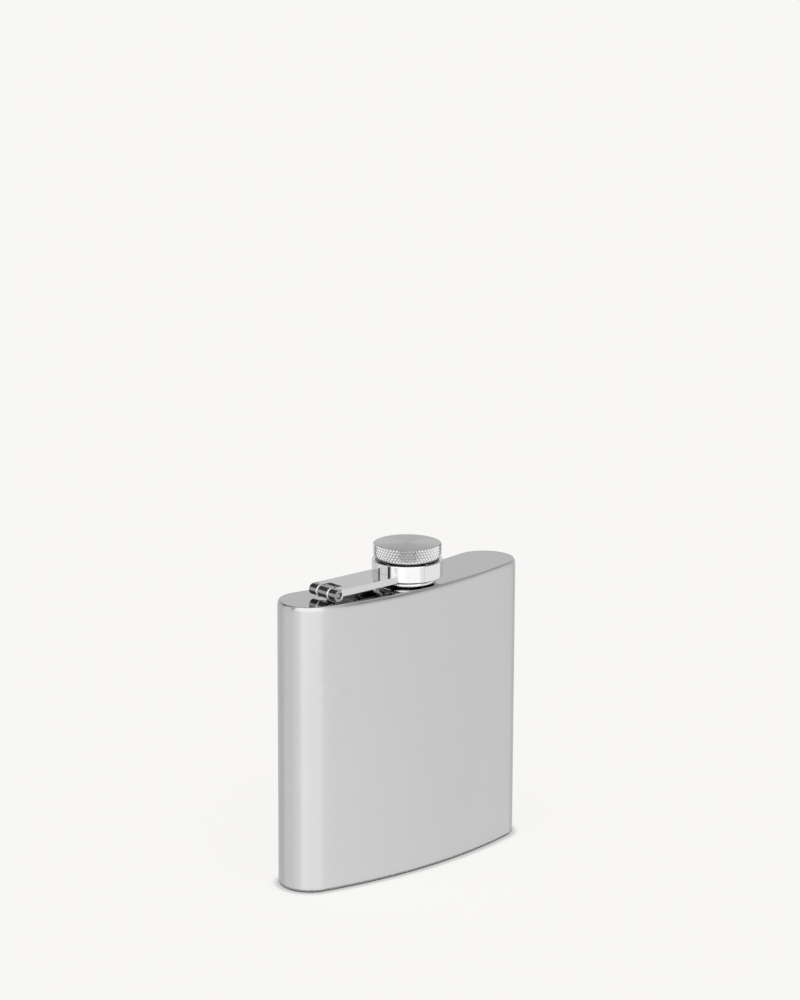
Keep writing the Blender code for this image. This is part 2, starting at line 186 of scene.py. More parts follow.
def end_arc():
    """The centre (x, y) and radius of the arc that touches both long arcs and the bottle's end.

    The end circle's centre is at FRONT_RADIUS - r from the front arc's centre and at
    BACK_RADIUS + r from the back arc's centre, and x + r is half of the width. Halving the
    range of r finds the one at which both distances give the same y.
    """
    front_y = FRONT_RADIUS - THICKNESS / 2
    back_y = BACK_RADIUS + THICKNESS / 2
    low, high = THICKNESS / 4, THICKNESS
    for _ in range(60):
        radius = (low + high) / 2
        x = WIDTH / 2 - radius
        on_front = front_y - math.sqrt((FRONT_RADIUS - radius) ** 2 - x * x)
        on_back = back_y - math.sqrt((BACK_RADIUS + radius) ** 2 - x * x)
        if on_front > on_back:
            high = radius
        else:
            low = radius
    return x, on_front, radius


END_X, END_Y, END_RADIUS = end_arc()


def plan_outline(inset):
    """The bottle's plan moved in by inset: two long arcs and two end arcs, anticlockwise."""
    y = DEPTH_SHIFT
    down = -math.pi / 2
    front_y = y + FRONT_RADIUS - THICKNESS / 2
    back_y = y + BACK_RADIUS + THICKNESS / 2
    front_half = math.atan2(END_X, front_y - y - END_Y)
    back_half = math.atan2(END_X, back_y - y - END_Y)

    def arc(centre_x, centre_y, radius, start, end, count):
        angles = np.linspace(start, end, count, endpoint=False)
        return np.stack([centre_x + radius * np.cos(angles), centre_y + radius * np.sin(angles)], 1)

    return np.vstack([
        arc(0, front_y, FRONT_RADIUS - inset, down - front_half, down + front_half, 96),
        arc(END_X, y + END_Y, END_RADIUS - inset, down + front_half, -down + back_half, 72),
        arc(0, back_y, BACK_RADIUS + inset, down + back_half, down - back_half, 96),
        arc(-END_X, y + END_Y, END_RADIUS - inset, -down - back_half, -down * 3 - front_half, 72),
    ])


def carried_round_plan(profile):
    """A profile of (inset, height) points carried round the plan."""
    rings = [plan_outline(inset) for inset, _ in profile]
    heights = np.repeat(profile[:, 1:], len(rings[0]), axis=1)
    return np.concatenate([np.stack(rings), heights[:, :, None]], axis=2)


def plate(profile, hole_radius):
    """A flat plate: each point lies a share of the way from the hole's edge to the wall.

    The profile holds (share, height) points, and a hole radius of 0 makes the first and the last
    ones a single point on the cap's axis.
    """
    outline = plan_outline(WALL)
    away = outline - CAP_AXIS
    edge = CAP_AXIS + hole_radius * away / np.linalg.norm(away, axis=1, keepdims=True)
    share = profile[:, :1, None]
    flat = edge[None] * (1 - share) + outline[None] * share
    heights = np.repeat(profile[:, 1:], len(outline), axis=1)
    return np.concatenate([flat, heights[:, :, None]], axis=2)


def turned(profile, steps, relief=None):
    """A profile of (radius, height) points turned about the cap's axis.

    relief(angle, height, radius) is added to the radius, for a thread or a knurl.
    """
    angle = np.linspace(0, math.tau, steps, endpoint=False)[None, :]
    radius = np.repeat(profile[:, :1], steps, axis=1)
    height = np.repeat(profile[:, 1:], steps, axis=1)
    if relief:
        radius = radius + relief(angle, height, radius)
    x = CAP_AXIS[0] + radius * np.cos(angle)
    y = CAP_AXIS[1] + radius * np.sin(angle)
    return np.stack([x, y, height], axis=2)


def turned_along_hinge(profile, steps, centre):
    """A profile of (radius, place along Y) points turned about a line through centre."""
    angle = np.linspace(0, math.tau, steps, endpoint=False)[None, :]
    radius = np.repeat(profile[:, :1], steps, axis=1)
    along = np.repeat(profile[:, 1:], steps, axis=1)
    x = centre[0] + radius * np.cos(angle)
    z = centre[2] + radius * np.sin(angle)
    return np.stack([x, centre[1] + along, z], axis=2)


def smooth_step(value):
    """0 below 0, 1 above 1, and an even S between."""
    t = np.clip(value, 0, 1)
    return t * t * (3 - 2 * t)


def thread(base, height, half_width, on_radius):
    """A helical ridge as a relief: a flat-topped bump round the line level = base + pitch * turn.

    For each angle the ridge passes once a turn, and its height fades out at its two ends.
    """
    fade = 0.12

    def relief(angle, level, radius):
        on_wall = np.abs(radius - on_radius) < 0.01
        rise = np.zeros(np.broadcast(angle, level).shape)
        for lap in range(math.ceil(THREAD_TURNS) + 1):
            turn = angle / math.tau + lap
            away = np.abs(level - base - THREAD_PITCH * turn) / half_width
            ends = smooth_step(turn / fade) * smooth_step((THREAD_TURNS - turn) / fade)
            rise = np.maximum(rise, smooth_step((1 - away) * 1.5) * ends)
        return height * rise * on_wall

    return relief


def knurl(angle, level, radius):
    """A diamond knurl as a relief: two families of V grooves that cross.

    Each family is a triangle wave in angle plus or minus height, held at its top so that the
    diamonds have small flats. The surface is as high as the lower of the two, and it cuts the
    turned profile wherever that stands further out.
    """
    along = KNURL_COUNT * angle / math.tau
    across = level * KNURL_COUNT * math.tan(KNURL_SLANT) / (math.tau * KNOB_RADIUS)
    one = 2 * np.abs((along + across) % 1 - 0.5)
    other = 2 * np.abs((along - across) % 1 - 0.5)
    groove = KNURL_DEPTH * (1 - np.minimum(np.minimum(one, other) * 1.15, 1))
    return np.minimum(KNOB_RADIUS - groove - radius, 0)


# ---------------------------------------------------------------- meshes


def grid_faces(rows, columns, ring, wrapped=True):
    """Quads between neighbouring points of a grid that is numbered row by row."""
    down = np.arange(rows if ring else rows - 1)
    across = np.arange(columns if wrapped else columns - 1)
    a, b = np.meshgrid(down, across, indexing="ij")
    below = (a + 1) % rows
    beside = (b + 1) % columns
    corners = [
        a * columns + b, a * columns + beside, below * columns + beside, below * columns + b,
    ]
    return np.stack(corners, axis=-1).reshape(-1, 4)


def enclosed_volume(points, faces):
    """The signed volume inside faces, from the sum of the tetrahedra to the origin."""
    total = 0.0
    for size in {len(face) for face in faces}:
        some = np.array([face for face in faces if len(face) == size])
        corner = points[some]
        for k in range(1, size - 1):
            total += np.sum(corner[:, 0] * np.cross(corner[:, k], corner[:, k + 1]))
    return total / 6


def add_piece(name, points, faces, closed=True):
    """A smooth-shaded mesh object from points in millimetres, with its faces turned outwards."""
    points = points.reshape(-1, 3) * MM
    faces = [tuple(face) for face in faces]
    if closed and enclosed_volume(points, faces) < 0:
        faces = [face[::-1] for face in faces]
    mesh = bpy.data.meshes.new(name)
    mesh.from_pydata(points.tolist(), [], faces)
    mesh.polygons.foreach_set("use_smooth", np.ones(len(faces), bool))
    mesh.set_sharp_from_angle(angle=math.radians(32))
    mesh.update()
    piece = bpy.data.objects.new(name, mesh)
    bpy.context.scene.collection.objects.link(piece)
    return piece


def ring_piece(name, grid):
    """A closed ring: its first row follows its last one."""
    rows, columns = grid.shape[:2]
    return add_piece(name, grid, grid_faces(rows, columns, ring=True).tolist())


def capped_piece(name, grid):
    """A closed form whose first and last rows are each one point, joined by fans."""
    rows, columns = grid.shape[:2]
    inner = grid[1:-1].reshape(-1, 3)
    points = np.vstack([grid[:1, 0], inner, grid[-1:, 0]])
    quads = grid_faces(rows - 2, columns, ring=False) + 1
    here = np.arange(columns)
    after = (here + 1) % columns
    last = len(points) - 1
    first_fan = np.stack([np.zeros(columns, int), after + 1, here + 1], 1)
    row = 1 + (rows - 3) * columns
    last_fan = np.stack([np.full(columns, last), here + row, after + row], 1)
    return add_piece(name, points, quads.tolist() + first_fan.tolist() + last_fan.tolist())


def sheet_piece(name, grids, thickness):
    """Bent sheet: open grids along its middle, joined where they meet and given a thickness."""
    points = np.vstack([grid.reshape(-1, 3) for grid in grids])
    faces = []
    start = 0
    for grid in grids:
        rows, columns = grid.shape[:2]
        faces.append(grid_faces(rows, columns, ring=False, wrapped=False) + start)
        start += rows * columns
    _, first, merged = np.unique(
        np.round(points, 4), axis=0, return_index=True, return_inverse=True
    )
    faces = merged.reshape(-1)[np.vstack(faces)]
    piece = add_piece(name, points[first], faces.tolist(), closed=False)
    wall = piece.modifiers.new("wall", "SOLIDIFY")
    wall.thickness = thickness * MM
    wall.offset = 0
    wall.use_even_offset = True
    edge = piece.modifiers.new("edge", "BEVEL")
    edge.width = 0.2 * MM
    edge.segments = 3
    edge.limit_method = "ANGLE"
    edge.angle_limit = math.radians(50)
    edge.harden_normals = True
    return piece


# ---------------------------------------------------------------- finishes


class Nodes:
    """Short calls that add nodes to one tree."""

    def __init__(self, tree):
        self.tree = tree
        tree.nodes.clear()

    def add(self, kind, inputs=None, **settings):
        """A node with its settings and its inputs, which are values or other nodes' outputs."""
        node = self.tree.nodes.new("ShaderNode" + kind)
        for key, value in settings.items():
            setattr(node, key, value)
        for key, value in (inputs or {}).items():
            if isinstance(value, bpy.types.NodeSocket):
                self.tree.links.new(value, node.inputs[key])
            else:
                node.inputs[key].default_value = value
        return node

    def math(self, operation, *values):
        """The result of a Math node."""
        return self.add("Math", dict(enumerate(values)), operation=operation).outputs[0]

    def product(self, one, other):
        """Two values multiplied."""
        return self.math("MULTIPLY", one, other)

    def scaled(self, vector, factor):
        """A vector or colour times one value."""
        return self.add("VectorMath", {0: vector, "Scale": factor}, operation="SCALE").outputs[0]

    def stretched(self, vector, factors):
        """A vector times three numbers, one for each of its parts."""
        return self.add("VectorMath", {0: vector, 1: factors}, operation="MULTIPLY").outputs[0]

    def ranged(self, value, low, high, to_low, to_high, kind="LINEAR"):
        """A value moved from one range to another, and held within it."""
        inputs = {
            "Value": value, "From Min": low, "From Max": high, "To Min": to_low, "To Max": to_high,
        }
        return self.add("MapRange", inputs, interpolation_type=kind).outputs["Result"]

    def noise(self, vector, scale, detail=3.0):
        """A noise value from 0 to 1."""
        made = self.add("TexNoise", {"Vector": vector, "Scale": scale, "Detail": detail})
        return made.outputs["Factor"] if "Factor" in made.outputs else made.outputs["Fac"]


def around_cap(nodes, position):
    """Coordinates about the cap's axis: (radius, angle, height), the radius, and (x, y, radius).

    The last is the way in which reflections are drawn out: along the radius on a flat end.
    """
    centre = (-CAP_AXIS[0] * MM, -CAP_AXIS[1] * MM, 0)
    moved = nodes.add("VectorMath", {0: position, 1: centre}, operation="ADD").outputs[0]
    parts = nodes.add("SeparateXYZ", {0: moved}).outputs
    squares = [nodes.product(part, part) for part in (parts[0], parts[1])]
    radius = nodes.math("SQRT", nodes.math("ADD", *squares))
    angle = nodes.math("ARCTAN2", parts[1], parts[0])
    polar = nodes.add("CombineXYZ", {0: radius, 1: angle, 2: parts[2]}).outputs[0]
    drawn = nodes.add("CombineXYZ", {0: parts[0], 1: parts[1], 2: radius}).outputs[0]
    return polar, radius, drawn


def knob_shares(nodes, radius, rim):
    """Shares for the knob: of its roughness, halved beyond a radius, and of its colour.

    The colour share is painted shade: darker in the knurl's grooves, where less of the surroundings is
    open.
    """
    rough = nodes.ranged(radius, (rim - 0.1) * MM, (rim + 0.1) * MM, 1.0, 0.5, "SMOOTHSTEP")
    # Painted shade: the colour is darkened where ambient occlusion finds the knurl's grooves.
    open_sky = nodes.add("AmbientOcclusion", {"Distance": 0.8 * MM}, samples=6).outputs["AO"]
    return rough, nodes.ranged(open_sky, 0.35, 0.85, 0.2, 1.0)


def arm_painted_shade(nodes, position):
    """The share of the arm's colour, a painted shade: half on its knuckles, and less and less inside its
    channel.

    The channel's inner faces lie between the flanges, below the web and beyond the knuckles.
    """
    place = nodes.add("SeparateXYZ", {0: position}).outputs
    end = HINGE[0] + 1.0
    share = nodes.ranged(place[0], (end - 0.4) * MM, (end + 0.4) * MM, 0.5, 1.0, "SMOOTHSTEP")
    off_centre = nodes.math("ABSOLUTE", nodes.math("SUBTRACT", place[1], HINGE[1] * MM))
    between = nodes.math("LESS_THAN", off_centre, (ARM_HALF_WIDTH - SHEET / 2) * MM)
    below = nodes.math("LESS_THAN", place[2], (HINGE[2] + KNUCKLE_RADIUS - SHEET / 2) * MM)
    beyond = nodes.math("GREATER_THAN", place[0], (HINGE[0] + KNUCKLE_RADIUS) * MM)
    inside = nodes.product(nodes.product(between, below), beyond)
    # Painted shade: the channel's inner faces darken towards the ring.
    inner_shade = nodes.ranged(place[0], (HINGE[0] + 13) * MM, (HINGE[0] + 20) * MM, 0.0, 0.97)
    return nodes.product(share, nodes.math("SUBTRACT", 1.0, nodes.product(inside, inner_shade)))


def metal(name, tone, roughness, lines, line_size, depth, cloud, stretch=0.0, rim=None, channel=False):
    """Steel with a grain.

    tone is its colour, roughness a (low, high) pair that the noises move between, and lines the
    grain's direction: "level" round the flask, "along" the arm, "turned" about the cap's axis or
    "none". line_size is (length, width) of one line and depth its depth, in millimetres. cloud is
    how far the tone varies, and stretch how far the reflections are drawn out across the lines.
    Beyond the radius in rim, which is for the knob, the finish is smoother, and grooves are
    darker with painted shade. channel paints shade on the arm's knuckles and on the inner faces
    of its channel.
    """
    material = bpy.data.materials.new(name)
    material.use_nodes = True
    nodes = Nodes(material.node_tree)
    position = nodes.add("TexCoord").outputs["Object"]
    length, width = 1 / (line_size[0] * MM), 1 / (line_size[1] * MM)
    upward = (0.0, 0.0, 1.0)
    if lines == "turned":
        polar, radius, drawn = around_cap(nodes, position)
        grain_place = nodes.stretched(polar, (width, 6.0, length))
    else:
        scale, drawn = {
            "level": ((length, length, width), upward),
            "along": ((length, width, width), (0.0, 1.0, 0.0)),
            "none": ((width, width, width), upward),
        }[lines]
        grain_place = nodes.stretched(position, scale)
    grain = nodes.noise(grain_place, 1.0, 4.0)
    clouds = nodes.noise(position, 70.0)
    patches = nodes.noise(position, 260.0, 4.0)
    mixed = nodes.math("MULTIPLY_ADD", clouds, 0.6, nodes.product(patches, 0.4))
    rough = nodes.math("MULTIPLY_ADD", grain, 0.55, nodes.product(mixed, 0.45))
    rough = nodes.ranged(rough, 0.32, 0.68, *roughness)
    wide = nodes.ranged(mixed, 0.3, 0.7, 1 - cloud, 1 + cloud)
    fine = nodes.ranged(grain, 0.3, 0.7, 1 - cloud / 2, 1 + cloud / 2)
    colour = nodes.scaled(tone, nodes.product(wide, fine))
    if rim:
        smoother, groove_shade = knob_shares(nodes, radius, rim)
        rough = nodes.product(rough, smoother)
        # Painted shade in the knurl's grooves.
        colour = nodes.scaled(colour, groove_shade)
    if channel:
        # Painted shade on the arm's knuckles and inside its channel.
        colour = nodes.scaled(colour, arm_painted_shade(nodes, position))
    bump = nodes.add("Bump", {"Height": grain, "Strength": 1.0, "Distance": depth * MM}).outputs[0]
    values = {"Base Color": colour, "Roughness": rough, "Metallic": 1.0, "Normal": bump}
    if stretch:
        spaces = {"vector_type": "VECTOR", "convert_from": "OBJECT", "convert_to": "WORLD"}
        values["Tangent"] = nodes.add("VectorTransform", {0: drawn}, **spaces).outputs[0]
    shader = nodes.add("BsdfPrincipled", values)
    shader.inputs["Anisotropic"].default_value = stretch
    nodes.add("OutputMaterial", {"Surface": shader.outputs[0]})
    return material


def soft_plastic(name, tone, roughness, grain):
    """A moulded plastic or rubber: a little mottled, with a fine matt skin."""
    material = bpy.data.materials.new(name)
    material.use_nodes = True
    nodes = Nodes(material.node_tree)
    position = nodes.add("TexCoord").outputs["Object"]
    clouds = nodes.noise(position, 500.0)
    skin = nodes.noise(position, grain, 2.0)
    colour = nodes.scaled(tone, nodes.ranged(clouds, 0.3, 0.7, 0.95, 1.05))
    rough = nodes.ranged(skin, 0.3, 0.7, roughness - 0.06, roughness + 0.06)
    bump = nodes.add("Bump", {"Height": skin, "Strength": 1.0, "Distance": 0.01 * MM}).outputs[0]
    shader = nodes.add("BsdfPrincipled", {"Base Color": colour, "Roughness": rough, "Normal": bump})
    nodes.add("OutputMaterial", {"Surface": shader.outputs[0]})
    return material


FINISHES = {
    "brushed_steel": metal(
        "brushed_steel", (0.60, 0.60, 0.60), (0.26, 0.34), "level", (14.0, 0.12),
        stretch=0.75, depth=0.002, cloud=0.02,
    ),
    "polished_panel": metal(
        "polished_panel", (0.56, 0.56, 0.56), (0.05, 0.10), "along", (9.0, 0.15),
        depth=0.0002, cloud=0.015,
    ),
    # The arm's copy of the top panel's polished finish: a lighter tone, which is painted light, and
    # painted shade on its knuckles and inside its channel.
    "arm_steel": metal(
        "arm_steel", (0.66, 0.66, 0.66), (0.05, 0.10), "along", (9.0, 0.15),
        depth=0.0002, cloud=0.015, channel=True,
    ),
    "polished_steel": metal(
        "polished_steel", (0.80, 0.80, 0.80), (0.025, 0.06), "none", (3.0, 0.6),
        depth=0.0002, cloud=0.01,
    ),
    "washer_steel": metal(
        "washer_steel", (0.88, 0.88, 0.88), (0.42, 0.50), "none", (1.0, 0.2),
        depth=0.0006, cloud=0.01,
    ),
    "dark_steel": metal(
        "dark_steel", (0.34, 0.34, 0.34), (0.07, 0.14), "none", (3.0, 0.5),
        depth=0.0006, cloud=0.02,
    ),
    # The knob's turned finish, with painted shade in the knurl's grooves.
    "satin_steel": metal(
        "satin_steel", (0.66, 0.66, 0.66), (0.24, 0.33), "turned", (2.0, 0.09),
        stretch=0.5, depth=0.002, cloud=0.02, rim=10.3,
    ),
    "silicone": soft_plastic("silicone", (0.78, 0.78, 0.76), 0.55, 2500.0),
    "white_plastic": soft_plastic("white_plastic", (0.74, 0.74, 0.73), 0.40, 1800.0),
}


def fit(piece, body, slot, node, finish=None):
    """Sets a piece's finish and what it rides on, and hides the frame node it stands for."""
    piece.data.materials.append(FINISHES[finish or slot])
    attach(piece, body)
    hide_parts(node)


# ---------------------------------------------------------------- the bottle


def body_shell():
    """The wall: a profile with a rounded foot and an elliptic rim, carried round the plan."""
    foot = fillet([(WALL, 0, 0), (0, 0, BASE_EDGE_RADIUS), (0, TOP, 0)], closed=False)[:-1]
    turn = np.linspace(0, math.pi / 2, 14)
    inset = RIM_DEPTH * (1 - np.cos(turn))
    height = TOP - RIM_HEIGHT * (1 - np.sin(turn))
    below_rim = [(0, TOP - RIM_HEIGHT - 0.2)]
    profile = np.vstack([foot, below_rim, np.stack([inset, height], 1), [(WALL, TOP)]])
    return ring_piece("wall", carried_round_plan(profile))


def top_panel():
    """The top plate, with the neck's hole, whose edge is rolled down a little.

    The rows close to the hole keep the flat part level in shading.
    """
    share = np.array([1.0, 0.6, 0.3, 0.1, 0.04, 0.02, 0.0, 0.0, 1.0])
    drop = np.array([0.0, 0.0, 0.0, 0.0, 0.0, 0.0, 0.15, PANEL, PANEL])
    return ring_piece("top_plate", plate(np.stack([share, TOP - drop], 1), NECK_RADIUS + 0.05))


def base_panel():
    """The base plate: a shallow dished middle inside a flat margin, on which the flask stands."""
    share = np.linspace(0, 1, 24)
    dish = DISH_DEPTH * smooth_step((0.93 - share) / 0.12)
    under = np.stack([share, dish], 1)
    over = np.array([(1.0, PANEL), (0.0, PANEL)])
    return capped_piece("base_plate", plate(np.vstack([under, over]), 0))


def neck():
    """The spout: a tube with a flange below the top plate and a thread round its mouth."""
    rim = TOP + NECK_HEIGHT
    flange = TOP - PANEL
    underside = flange - FLANGE_THICKNESS
    lip = fillet([
        (NECK_BORE, underside, 0), (NECK_BORE, rim, 0.18), (NECK_RADIUS, rim, 0.18),
        (NECK_RADIUS, flange, 0),
    ], closed=False)
    threaded = np.stack([np.full(70, NECK_RADIUS), np.linspace(rim - 0.3, TOP + 2.2, 70)], 1)
    foot = fillet([
        (NECK_RADIUS, TOP, 0), (NECK_RADIUS, flange, 0), (FLANGE_RADIUS, flange, 0.15),
        (FLANGE_RADIUS, underside, 0.15), (NECK_BORE, underside, 0.1), (NECK_BORE, TOP, 0),
    ], closed=False)
    ridge = thread(rim - 2.7, 0.4, 0.42, NECK_RADIUS)
    return ring_piece("spout", turned(np.vstack([lip[1:-1], threaded, foot[1:-1]]), 160, ridge))


# ---------------------------------------------------------------- the hinge


def curl(radius):
    """The middle line of a knuckle, from its free end round to the top."""
    angles = np.linspace(CURL_END, math.pi / 2, 44)
    return radius * np.stack([np.cos(angles), np.sin(angles)], 1)


def strip(path, across):
    """A grid about the hinge: a path of (x, z) points repeated at places along Y."""
    x = np.repeat(path[:, :1], len(across), axis=1)
    z = np.repeat(path[:, 1:], len(across), axis=1)
    y = np.repeat(across[None, :], len(path), axis=0)
    return np.stack([x, y, z], axis=2)


def hinge_bracket():
    """A strip whose middle line curls round the pin, runs flat, drops and turns out along the top."""
    line_radius = KNUCKLE_RADIUS - SHEET / 2
    foot = TOP - HINGE[2] + SHEET / 2
    bends = fillet([
        (0, line_radius, 0), (BRACKET_DROP, line_radius, BRACKET_BEND),
        (BRACKET_DROP, foot, BRACKET_BEND), (BRACKET_FOOT_END, foot, 0),
    ], closed=False)
    path = np.vstack([curl(line_radius), bends[1:]])
    across = np.linspace(-BRACKET_HALF_WIDTH, BRACKET_HALF_WIDTH, 4)
    return sheet_piece("bracket", [HINGE + strip(path, across)], SHEET)


def hinge_pin():
    """The pin, a little short of the barrel, off its centre and with nearly flat ends."""
    half = ARM_HALF_WIDTH - PIN_INSET
    corners = [(0, half, 0), (PIN_RADIUS, half - 0.04, 0.1), (PIN_RADIUS, 0, 0)]
    end = fillet(corners, closed=False)[:-1]
    profile = np.vstack([end, end[::-1] * (1, -1)])
    return capped_piece("pin", turned_along_hinge(profile, 48, HINGE + PIN_SHIFT))


def hinge_washer(side):
    """A thin washer between two knuckles."""
    half = WASHER_HALF_THICKNESS
    profile = fillet([
        (WASHER_RADIUS, half, 0.24), (WASHER_RADIUS, -half, 0.24),
        (WASHER_BORE, -half, 0.05), (WASHER_BORE, half, 0.05),
    ])
    centre = HINGE + np.array([0, side * WASHER_PLACE, 0])
    name = "washer_back" if side > 0 else "washer_front"
    return ring_piece(name, turned_along_hinge(profile, 72, centre))


# ---------------------------------------------------------------- the arm


def arm():
    """The arm's channel and its two knuckles, from one sheet.

    The channel's section runs up a flange, across the web and down again, and is carried along
    X to the collar's circle. Beside the notch, the web runs on and curls round the pin.
    """
    level = KNUCKLE_RADIUS - SHEET / 2
    side = ARM_HALF_WIDTH - SHEET / 2
    heights = np.linspace(KNUCKLE_RADIUS - ARM_FLANGE, level, 5)[:-1]
    flange = np.stack([np.full(len(heights), -side), heights], 1)
    lines = np.array([side, *ARM_LINES[::-1], NOTCH_HALF_WIDTH, 1.5, 0.0])
    web = np.stack([-lines, np.full(len(lines), level)], 1)
    half = np.vstack([flange, web])
    section = np.vstack([half, half[-2::-1] * (-1, 1)])
    at_collar = -HINGE[0] - np.sqrt(ARM_END_RADIUS**2 - section[:, 0] ** 2)

    def channel(columns, first, ends, rows):
        """Rows of the section's columns, from one place along the arm to each column's end."""
        part = section[columns]
        share = np.linspace(0, 1, rows)[:, None]
        x = first + share * (ends[None, columns] - first)
        y = np.repeat(part[None, :, 0], rows, axis=0)
        z = np.repeat(part[None, :, 1], rows, axis=0)
        return np.stack([x, y, z], axis=2)

    beside_notch = len(flange) + 1 + len(ARM_LINES) + 1
    at_notch = np.full(len(section), NOTCH_END)
    grids = [
        channel(slice(None), NOTCH_END, at_collar, 40),
        channel(slice(0, beside_notch), KNUCKLE_END, at_notch, 6),
        channel(slice(-beside_notch, None), KNUCKLE_END, at_notch, 6),
    ]
    flat = np.array([(x, level) for x in np.linspace(0, KNUCKLE_END, 5)[1:]])
    path = np.vstack([curl(level), flat])
    for sign in (-1, 1):
        across = np.sort(sign * np.array([NOTCH_HALF_WIDTH, *ARM_LINES, side, ARM_HALF_WIDTH]))
        grids.append(strip(path, across))
    return sheet_piece("channel_arm", [grid + HINGE for grid in grids], SHEET)


def collar():
    """The ring: a tall wall with a floor."""
    base, rim = TOP + RING_BASE, TOP + RING_RIM
    floor_base, floor_top = TOP + RING_FLOOR_BASE, TOP + RING_FLOOR_TOP
    profile = fillet([
        (RING_RADIUS, rim, 0.22), (RING_RADIUS, base, 0.22), (RING_INNER, base, 0.15),
        (RING_INNER, floor_base, 0.1), (RING_HOLE, floor_base, 0.1), (RING_HOLE, floor_top, 0.1),
        (RING_INNER, floor_top, 0.1), (RING_INNER, rim, 0.22),
    ])
    return ring_piece("ring", turned(profile, 256))


# ---------------------------------------------------------------- the cap


def cap_head():
    """The knob: a slightly crowned top, a knurled rim and a rounding in to its foot.

    The crown is a parabola. The rounding's radius follows the cosine of an angle, drawn in a
    little by a power of 1.3, while its height follows the sine.
    """
    base, top = TOP + KNOB_BASE, TOP + KNOB_TOP
    reach = KNOB_RADIUS - KNOB_FOOT_RADIUS
    share = np.linspace(0, 0.955, 16)
    crown = np.stack([KNOB_RADIUS * share, top + KNOB_CROWN * (1 - share**2)], 1)
    edge = fillet([
        (10.0, top + 0.02, 0), (KNOB_RADIUS, top, 0.12), (KNOB_RADIUS, top - 1, 0),
    ], closed=False)
    rim = np.stack([np.full(40, KNOB_RADIUS), np.linspace(top - 0.3, base + reach + 0.05, 40)], 1)
    turn = np.linspace(0, math.pi / 2, 28)[1:]
    inward = KNOB_FOOT_RADIUS + reach * np.cos(turn) ** 1.3
    rounding = np.stack([inward, base + reach * (1 - np.sin(turn))], 1)
    ceiling = base + RECESS_DEPTH
    recess = fillet([
        (KNOB_FOOT_RADIUS, base, 0), (RECESS_RADIUS, base, 0.1), (RECESS_RADIUS, ceiling, 0.1),
        (0, ceiling, 0),
    ], closed=False)
    profile = np.vstack([crown, edge[1:-1], rim, rounding, recess[1:]])
    return capped_piece("knob", turned(profile, 14 * KNURL_COUNT, knurl))


def cap_sleeve():
    """The threaded sleeve: a plug in the knob and a thin tube over the spout."""
    base, plug, ceiling = TOP + SLEEVE_BASE, TOP + PLUG_BASE, TOP + SLEEVE_CEILING
    outer = fillet([
        (0, plug + PLUG_HEIGHT, 0), (PLUG_RADIUS, plug + PLUG_HEIGHT, 0.2),
        (PLUG_RADIUS, plug, 0.1), (SLEEVE_RADIUS, plug, 0.1), (SLEEVE_RADIUS, base, 0.1),
        (SLEEVE_BORE, base, 0.1), (SLEEVE_BORE, TOP + 3, 0),
    ], closed=False)
    bore = np.stack([np.full(60, SLEEVE_BORE), np.linspace(TOP + 2.2, TOP + 6.9, 60)], 1)
    end = np.array([(SLEEVE_BORE, ceiling), (0, ceiling)])
    ridge = thread(TOP + 3.0, -0.25, 0.38, SLEEVE_BORE)
    return capped_piece("sleeve", turned(np.vstack([outer[:-1], bore, end]), 160, ridge))


def cap_gasket():
    """The soft disc, with the groove that the spout's rim has pressed into it.

    The groove is a bell curve in radius, over the middle of the rim.
    """
    base, top = TOP + GASKET_BASE, TOP + GASKET_BASE + GASKET_THICKNESS
    flat = GASKET_RADIUS - 0.2
    radius = np.linspace(0, flat, 50)
    rim_middle = (NECK_BORE + NECK_RADIUS) / 2
    pressed = 0.12 * np.exp(-(((radius - rim_middle) / 0.22) ** 2))
    under = np.stack([radius, base + pressed], 1)
    edge = fillet([
        (flat, base, 0), (GASKET_RADIUS, base, 0.15), (GASKET_RADIUS, top, 0.15), (0, top, 0),
    ], closed=False)
    return capped_piece("gasket", turned(np.vstack([under, edge[1:]]), 120))


def flat_ring(name, outer, base, thickness, edge):
    """A washer round the sleeve, with rounded edges."""
    inner = SLEEVE_RADIUS + 0.1
    top = base + thickness
    profile = fillet([
        (outer, top, edge), (outer, base, edge), (inner, base, edge), (inner, top, edge),
    ])
    return ring_piece(name, turned(profile, 200))


fit(body_shell(), "flask", "brushed_steel", "body_shell")
fit(top_panel(), "flask", "polished_panel", "top_panel")
fit(base_panel(), "flask", "brushed_steel", "base_panel")
fit(neck(), "flask", "polished_steel", "neck")
fit(hinge_bracket(), "flask", "dark_steel", "hinge_bracket")
fit(hinge_pin(), "flask", "polished_steel", "hinge_pin", "dark_steel")
fit(hinge_washer(-1), "flask", "polished_steel", "hinge_washer_front", "washer_steel")
fit(hinge_washer(1), "flask", "polished_steel", "hinge_washer_back", "washer_steel")
fit(arm(), "arm", "polished_panel", "arm", "arm_steel")
fit(collar(), "arm", "polished_steel", "collar")
fit(cap_head(), "cap", "satin_steel", "cap_head")
fit(cap_sleeve(), "cap", "polished_steel", "cap_sleeve")
fit(cap_gasket(), "cap", "silicone", "cap_gasket")
retainer = flat_ring("retainer", outer=9.2, base=TOP + 0.35, thickness=1.2, edge=0.5)
fit(retainer, "cap", "polished_steel", "retaining_ring")
slip_washer = flat_ring("washer_slip", outer=9.0, base=TOP + 1.65, thickness=0.3, edge=0.08)
fit(slip_washer, "cap_carrier", "white_plastic", "slip_washer")


# ---------------------------------------------------------------- the studio

PAGE = np.array([0.939, 0.930, 0.913])
